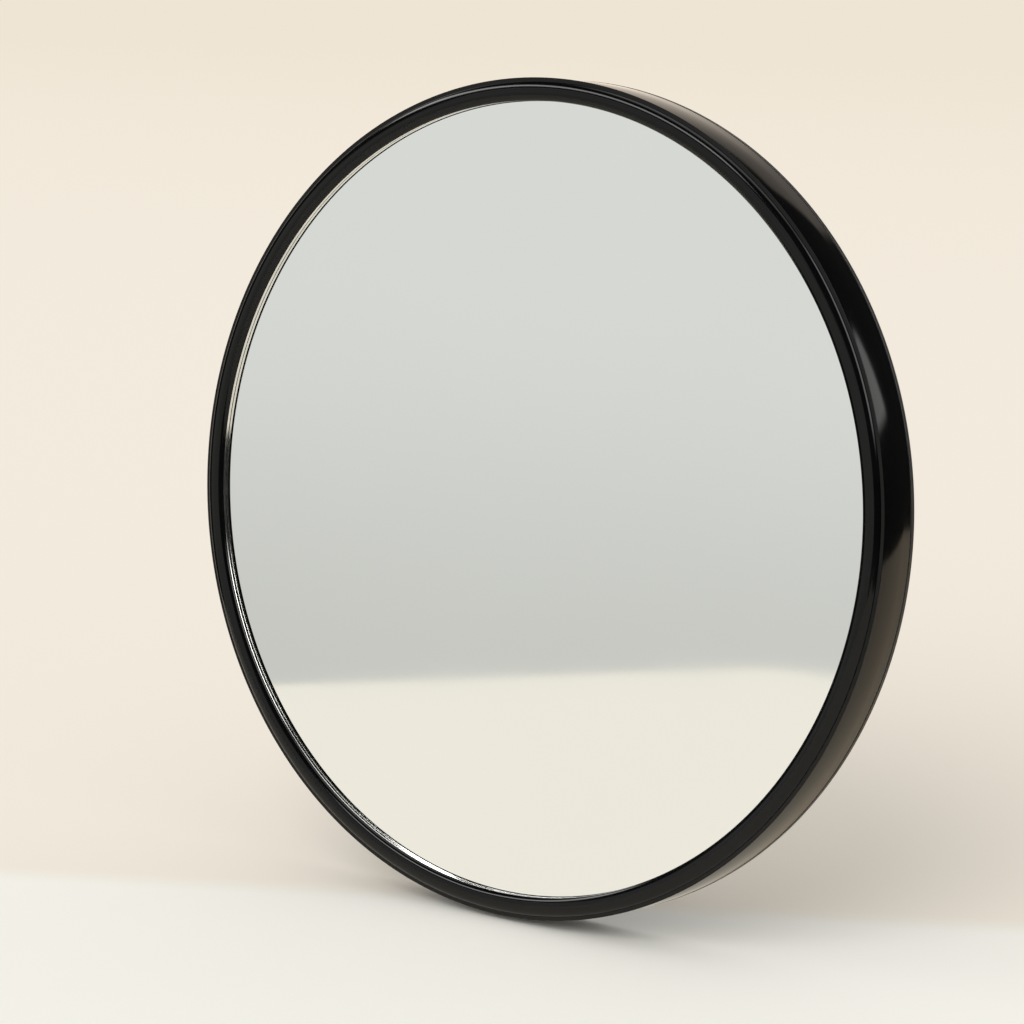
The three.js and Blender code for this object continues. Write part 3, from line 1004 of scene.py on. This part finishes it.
# Matt surfaces are lit by an even dome, with the key light added to it. Glossy surfaces see a
# darker studio with bright panels: (azimuth from, to, elevation from, to, softness, lower and
# upper colour). Azimuth turns from straight behind the object (0) to its right (90), in degrees.
DOME = (0.8, 0.792, 0.776)
STUDIO = (0.03, 0.03, 0.029)
PANELS = [
    (-60, 3, -25, 40, 2, (0.5, 0.44, 0.38), (0.5, 0.44, 0.38)),
    (-80, -22, -25, 40, 14, (1.3, 1.14, 0.96), (1.3, 1.14, 0.96)),
    (-180, -118, -40, 14, 4, (0.613, 0.617, 0.579), (0.738, 0.75, 0.723)),
    (-165, -100, 28, 36, 2, (8.0, 8.0, 7.9), (8.0, 8.0, 7.9)),
    (-165, -135, 15, 19, 1.5, (1.2, 1.2, 1.18), (1.2, 1.2, 1.18)),
    (60, 125, 18, 60, 5, (5.0, 5.0, 4.9), (5.0, 5.0, 4.9)),
    (38, 54, 12, 28, 1.5, (2.1, 2.1, 2.06), (2.1, 2.1, 2.06)),
    (-190, 190, 62, 91, 6, (2.0, 2.0, 1.95), (2.0, 2.0, 1.95)),
]
PANEL_FADE = (-5.5, 2.0)
BACKDROP_CREAM = (0.86, 0.785, 0.67)


def set_world():
    world = bpy.data.worlds.new("studio")
    world.use_nodes = True
    world.cycles.sampling_method = "NONE"
    tree = Tree(world.node_tree)
    background = tree.nodes["Background"]
    direction = tree.nodes.new("ShaderNodeTexCoord").outputs["Generated"]
    split = tree.nodes.new("ShaderNodeSeparateXYZ")
    tree.links.new(direction, split.inputs[0])
    azimuth = tree.math("DEGREES", tree.math("ARCTAN2", split.outputs["X"], split.outputs["Y"]))
    elevation = tree.math("DEGREES", tree.math("ARCSINE", split.outputs["Z"]))
    fade = tree.smooth(elevation, *PANEL_FADE)
    studio = (*STUDIO, 1)
    for left, right, low, high, soft, lower, upper in PANELS:
        across = tree.between(azimuth, left, right, soft)
        mask = tree.math("MULTIPLY", across, tree.between(elevation, low, high, soft))
        light = tree.mix(fade, (*lower, 1), (*upper, 1))
        studio = tree.mix(mask, studio, light)
    path = tree.nodes.new("ShaderNodeLightPath")
    direct = tree.math("LESS_THAN", path.outputs["Diffuse Depth"], 0.5)
    glossy = tree.math("MULTIPLY", path.outputs["Is Glossy Ray"], direct)
    colour = tree.mix(glossy, (*DOME, 1), studio)
    colour = tree.mix(path.outputs["Is Camera Ray"], colour, (*BACKDROP_CREAM, 1))
    tree.links.new(colour, background.inputs["Color"])
    bpy.context.scene.world = world


# A broad soft key light from in front, which gives the rest of the matt surfaces' light
KEY_AZIMUTH = math.radians(10)
KEY_ELEVATION = math.radians(38)
KEY_SOFTNESS = math.radians(40)
KEY_STRENGTH = 1.02
KEY_COLOUR = (1.0, 0.99, 0.97)


def set_key():
    """Aims the key from in front, KEY_AZIMUTH to the right; polished surfaces don't show it."""
    data = bpy.data.lights.new("key", "SUN")
    data.energy = KEY_STRENGTH
    data.angle = KEY_SOFTNESS
    data.color = KEY_COLOUR
    key = bpy.data.objects.new("key", data)
    bpy.context.scene.collection.objects.link(key)
    towards = seen_from(KEY_AZIMUTH, KEY_ELEVATION)
    key.rotation_mode = "QUATERNION"
    key.rotation_quaternion = towards.to_track_quat("Z", "Y")
    key.visible_glossy = False


# Painted shade: the paper is painted darker behind a soft line that passes behind the ring, for the
# ring's shadow: y = start + slope * x
SHADE_EDGE_SLOPE = 0.5
SHADE_EDGE_START = -0.018
SHADE_EDGE_WIDTH = 0.022
FLOOR_FRONT = (0.925, 0.915, 0.86)
# Painted shade of the ring on the paper behind the line
FLOOR_SHADED = (0.895, 0.835, 0.745)
FLOOR_FAR = (0.865, 0.79, 0.68)
FAR_RANGE = (0.5, 6.0)
PAPER_ROUGHNESS = 0.9


def paper_material(name, make_colour):
    """A matt paper without sheen, whose colour is made from the place on it."""
    material = bpy.data.materials.new(name)
    material.use_nodes = True
    tree = Tree(material.node_tree)
    shader = tree.nodes["Principled BSDF"]
    shader.inputs["Roughness"].default_value = PAPER_ROUGHNESS
    shader.inputs["Specular IOR Level"].default_value = 0.0
    split = tree.nodes.new("ShaderNodeSeparateXYZ")
    tree.links.new(tree.nodes.new("ShaderNodeTexCoord").outputs["Object"], split.inputs[0])
    colour = make_colour(tree, split.outputs["X"], split.outputs["Y"])
    tree.links.new(colour, shader.inputs["Base Color"])
    return material


def floor_colour_with_painted_shade(tree, x, y):
    """Near white in front of a soft line that passes behind the ring, painted shade behind it,
    fading to cream far back.
    """
    behind = tree.math("ADD", tree.math("MULTIPLY", x, -SHADE_EDGE_SLOPE), y)
    mask = tree.smooth(behind, SHADE_EDGE_START, SHADE_EDGE_START + SHADE_EDGE_WIDTH)
    far = tree.smooth(y, *FAR_RANGE)
    return tree.mix(mask, (*FLOOR_FRONT, 1), tree.mix(far, (*FLOOR_SHADED, 1), (*FLOOR_FAR, 1)))


TABLE_FRONT = (0.98, 0.96, 0.91)
# Painted shade of the table behind the ring and to its right, as the glossy pieces reflect it
TABLE_SHADED = (0.95, 0.85, 0.71)
TABLE_SHADE_X = (0.0, 0.1)
TABLE_SHADE_Y = (-0.04, 0.04)


def table_colour(tree, x, y):
    """The table as the glossy pieces reflect it, with painted shade: darker behind the ring and to
    its right.
    """
    mask = tree.math("MULTIPLY", tree.smooth(x, *TABLE_SHADE_X), tree.smooth(y, *TABLE_SHADE_Y))
    return tree.mix(mask, (*TABLE_FRONT, 1), (*TABLE_SHADED, 1))


def plane(name, corners, z, material):
    mesh = bpy.data.meshes.new(name)
    mesh.from_pydata([(x, y, z) for x, y in corners], [], [tuple(range(len(corners)))])
    mesh.materials.append(material)
    obj = bpy.data.objects.new(name, mesh)
    bpy.context.scene.collection.objects.link(obj)
    return obj


FLOOR_HALF = 14
# The table as glossy surfaces see it, a plain board whose left edge runs askew
TABLE_RIGHT = 0.56
TABLE_NEAR = -1.11
TABLE_FAR = 2.2
TABLE_LEFT = -0.45
TABLE_SLANT = 0.12
TABLE_CORNER = 0.04
TABLE_HEIGHT = -0.0002


def table_left(y):
    return TABLE_LEFT + TABLE_SLANT * y


def set_stage():
    paper = paper_material("studio_paper", floor_colour_with_painted_shade)
    half = FLOOR_HALF
    floor = plane("floor", [(-half, -half), (half, -half), (half, half), (-half, half)], 0, paper)
    floor.visible_glossy = False
    floor.visible_shadow = False
    board = filleted([
        (TABLE_RIGHT, TABLE_FAR),
        (TABLE_RIGHT, TABLE_NEAR),
        (table_left(TABLE_NEAR), TABLE_NEAR, TABLE_CORNER),
        (table_left(TABLE_FAR), TABLE_FAR),
    ], 10)
    table = plane("table_top", board, TABLE_HEIGHT, paper_material("table_paper", table_colour))
    table.visible_camera = False
    table.visible_diffuse = False
    table.visible_shadow = False


# ---- Assembly ----------------------------------------------------------------------------------

bezel_ring()
rim_shell()
trim_ring()
glass_gasket()
mirror_glass()
mirror_backing()
foam_pad()
back_cover()
rim_foot_pad()
cover_screws()
hinge_screws()
hinge_plate()
hinge_pin()
washers()
pin_clip()
stand_strut()
strut_foot_cap()

set_camera()
set_world()
set_key()
set_stage()
bpy.context.scene.view_settings.view_transform = "Standard"
